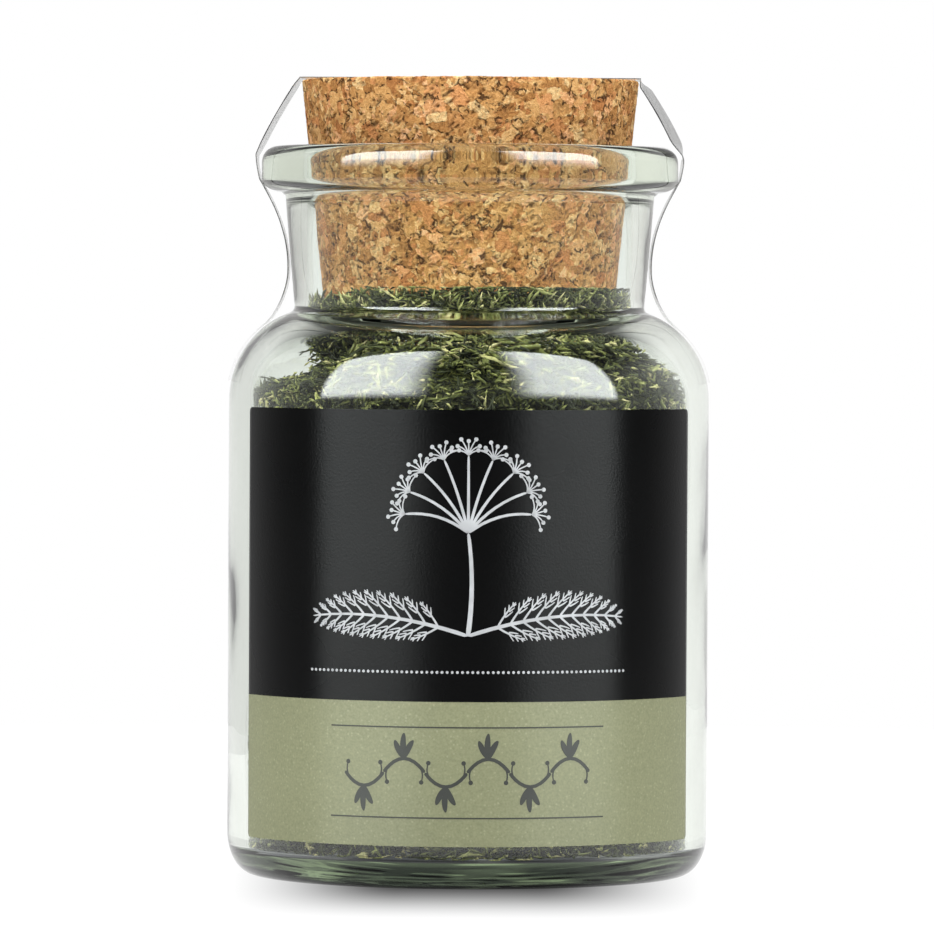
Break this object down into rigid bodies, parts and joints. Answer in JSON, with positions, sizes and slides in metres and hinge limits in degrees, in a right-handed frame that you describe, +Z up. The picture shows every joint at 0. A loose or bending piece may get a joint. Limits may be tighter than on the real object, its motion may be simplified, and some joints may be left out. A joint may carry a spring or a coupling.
{
  "type": "corked jar of dried dill tips",
  "caption": "Round-shouldered clear glass jar filled with dried dill tips, stopped by a tapered cork, with a two-tone wrap label and a clear film seal over the cork.",
  "frame": {"origin": "centre of the jar's foot ring, on the surface it stands on", "axes": "+Z up along the jar's axis, -Y out of the middle of the label, X along the seal strip"},
  "size_m": [0.0604, 0.0603, 0.0995],
  "materials": {
    "glass": "gloss",
    "dried_dill": "matte",
    "cork": "matte",
    "label_paper": "satin",
    "seal_film": "gloss",
    "silver_ink": "satin",
    "dark_ink": "satin"
  },
  "bodies": {
    "root": {"jar": "glass", "dill": "dried_dill", "cork": "cork", "label": "label_paper", "seal_strip": "seal_film"}
  },
  "joints": []
}
